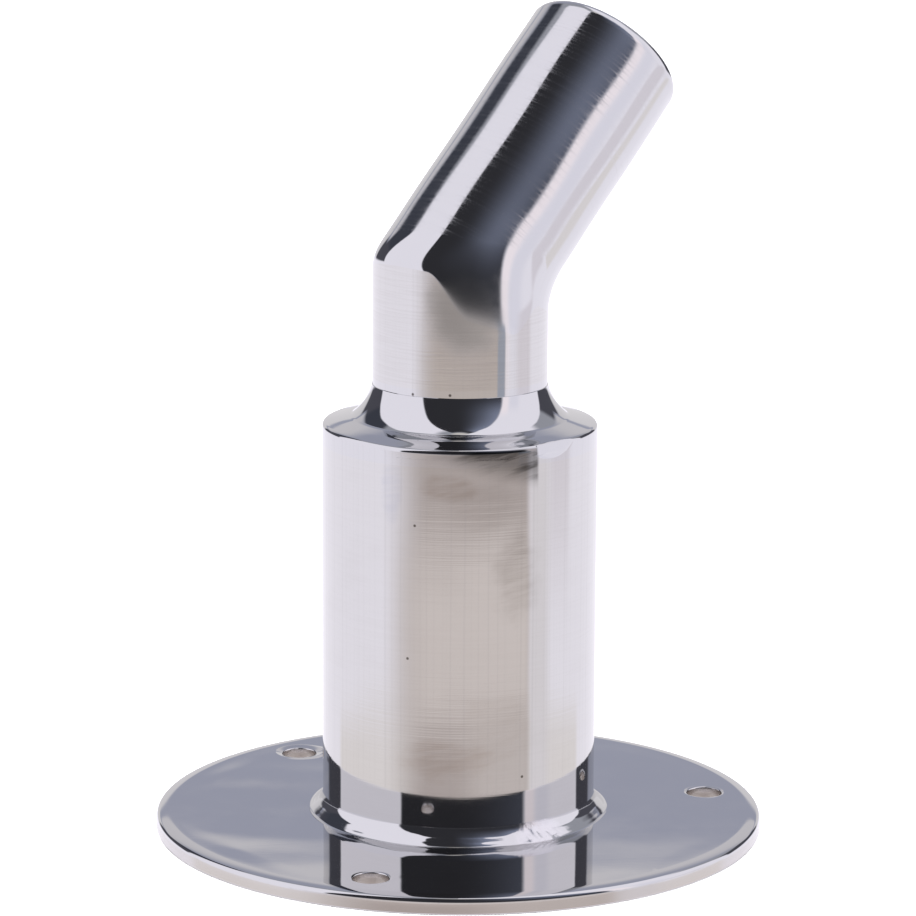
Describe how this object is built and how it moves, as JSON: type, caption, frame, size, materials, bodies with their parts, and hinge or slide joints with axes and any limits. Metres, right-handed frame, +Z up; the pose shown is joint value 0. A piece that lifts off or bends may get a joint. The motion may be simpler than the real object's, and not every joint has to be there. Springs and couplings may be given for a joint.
{
  "type": "stanchion base",
  "caption": "Round stainless deck base with a fat welded sleeve, a coved shoulder and a neck that bends into a slimmer angled spigot for a rail tube.",
  "frame": {"origin": "middle of the base plate's underside, where it rests on the deck", "axes": "+Z up along the sleeve's axis, +X the way the spigot leans"},
  "size_m": [0.089, 0.089, 0.12],
  "materials": {
    "mirror_plate": "mirror polished stainless steel",
    "polished_weld": "hand polished weld metal",
    "satin_tube": "satin stainless steel, fine brush lines round the tube",
    "ground_seam": "ground flush weld metal with a few pinholes",
    "turned_collar": "mirror polished stainless steel",
    "bend_polish": "hand ground and polished weld metal",
    "spigot_polish": "polished stainless steel with fine cross lines"
  },
  "bodies": {
    "root": {"base_plate": "mirror_plate", "foot_weld": "polished_weld", "sleeve": "satin_tube", "shoulder_weld": "ground_seam", "shoulder_collar": "turned_collar", "neck_weld": "ground_seam", "neck_tube": "satin_tube", "bend_weld": "bend_polish", "spigot_tube": "spigot_polish"}
  },
  "joints": []
}
